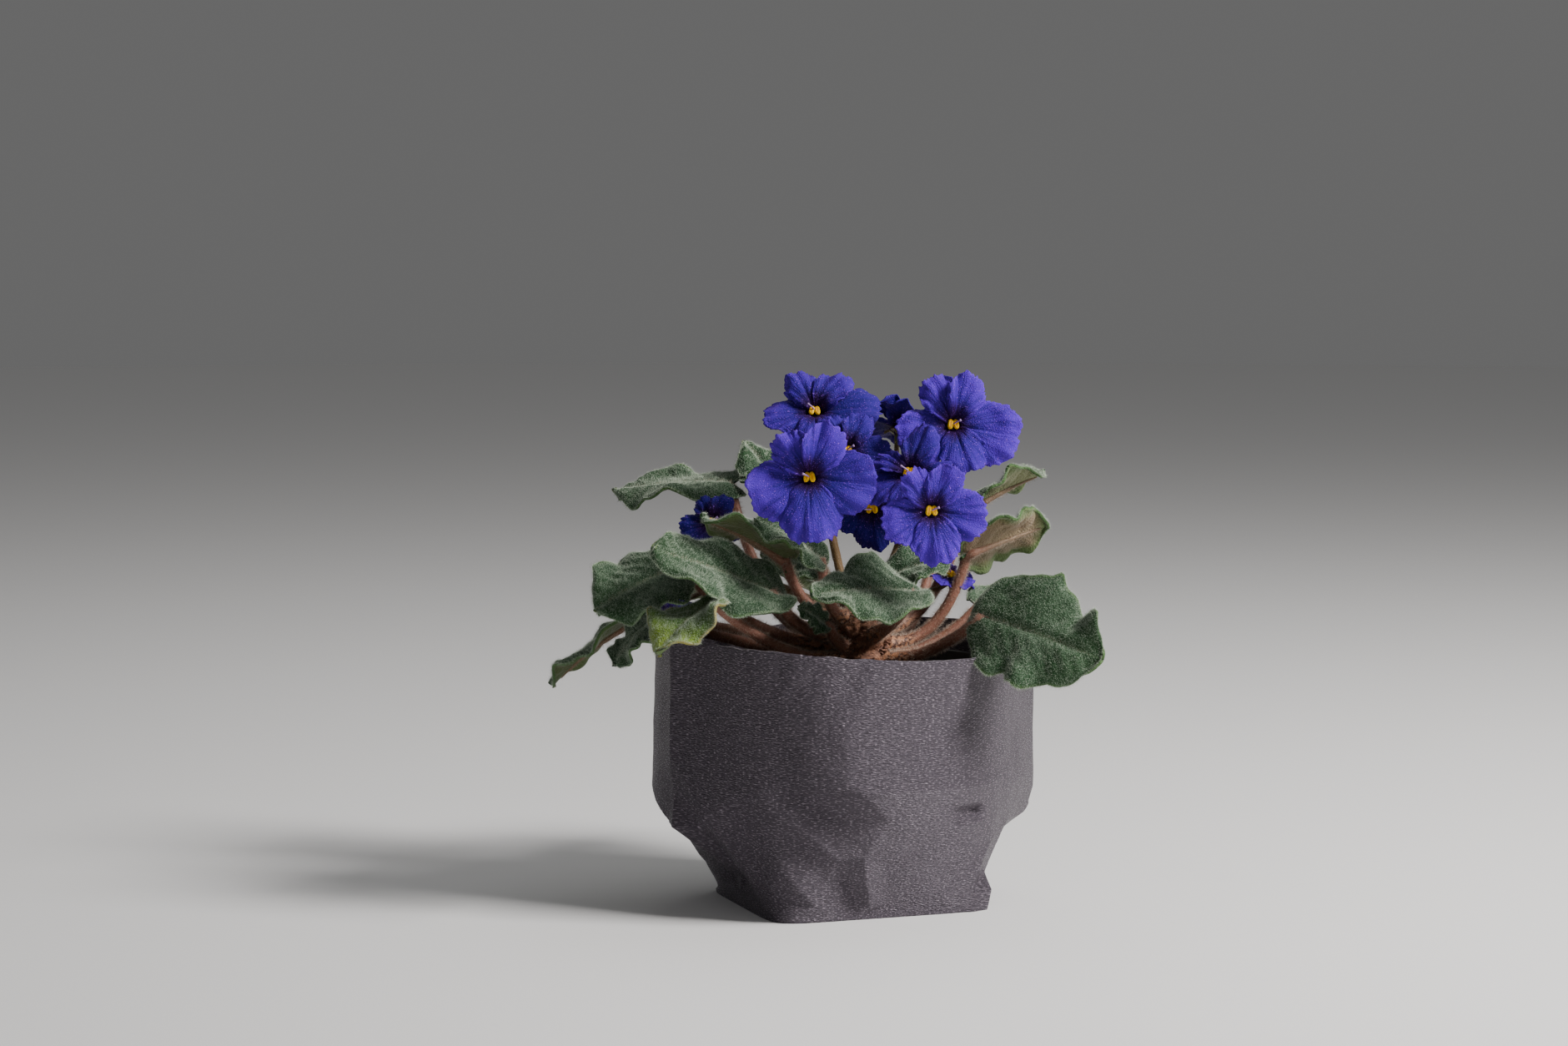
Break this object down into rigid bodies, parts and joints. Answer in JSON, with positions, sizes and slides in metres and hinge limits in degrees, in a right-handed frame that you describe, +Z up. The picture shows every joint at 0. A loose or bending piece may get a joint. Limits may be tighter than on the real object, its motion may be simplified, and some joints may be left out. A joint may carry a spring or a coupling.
{
  "type": "potted african violet",
  "caption": "Potted African violet: a rosette of hairy leaves and violet flowers, in a plastic nursery pot that stands in a folded paper bag.",
  "frame": {"origin": "middle of the paper bag's flat base, on the surface it stands on", "axes": "+Z up; the front, with the largest flowers, faces -Y; the lighter side crease of the bag is towards +X"},
  "size_m": [0.1782, 0.1386, 0.1715],
  "materials": {
    "paper": "charcoal creped paper, matte",
    "pot": "black thin plastic",
    "soil": "dark peat, rough",
    "crown": "reddish-brown, fibrous",
    "leaf": "soft green with short white hairs",
    "stalk": "brown-green, hairy",
    "petal": "violet-blue, velvety",
    "anther": "bright yellow, matte"
  },
  "bodies": {
    "root": {"paper_bag": "paper", "nursery_pot": "pot", "potting_soil": "soil", "crown": "crown", "flower_back_right_anthers": "anther", "flower_back_right_corolla": "petal", "flower_back_right_pedicel": "stalk", "flower_centre_anthers": "anther", "flower_centre_corolla": "petal", "flower_centre_pedicel": "stalk", "flower_front_left_anthers": "anther", "flower_front_left_corolla": "petal", "flower_front_left_pedicel": "stalk", "flower_front_right_anthers": "anther", "flower_front_right_corolla": "petal", "flower_front_right_pedicel": "stalk", "flower_left_anthers": "anther", "flower_left_corolla": "petal", "flower_left_low_anthers": "anther", "flower_left_low_corolla": "petal", "flower_left_low_pedicel": "stalk", "flower_left_pedicel": "stalk", "flower_low_centre_anthers": "anther", "flower_low_centre_corolla": "petal", "flower_low_centre_pedicel": "stalk", "flower_low_right_anthers": "anther", "flower_low_right_corolla": "petal", "flower_low_right_pedicel": "stalk", "flower_mid_right_anthers": "anther", "flower_mid_right_corolla": "petal", "flower_mid_right_pedicel": "stalk", "flower_top_left_anthers": "anther", "flower_top_left_corolla": "petal", "flower_top_left_pedicel": "stalk", "flower_top_right_anthers": "anther", "flower_top_right_corolla": "petal", "flower_top_right_pedicel": "stalk", "leaf_back": "leaf", "leaf_back_left": "leaf", "leaf_back_right": "leaf", "leaf_back_top": "leaf", "leaf_centre_left": "leaf", "leaf_front": "leaf", "leaf_left": "leaf", "leaf_left_back": "leaf", "leaf_left_front": "leaf", "leaf_left_inner": "leaf", "leaf_left_low": "leaf", "leaf_left_upper": "leaf", "leaf_left_yellow": "leaf", "leaf_mid_left": "leaf", "leaf_mid_right": "leaf", "leaf_right_front": "leaf", "leaf_right_mid": "leaf", "leaf_right_rear": "leaf", "leaf_right_top": "leaf", "leaf_young": "leaf", "stalk_left": "stalk", "stalk_right": "stalk", "stalk_side": "stalk"}
  },
  "joints": []
}
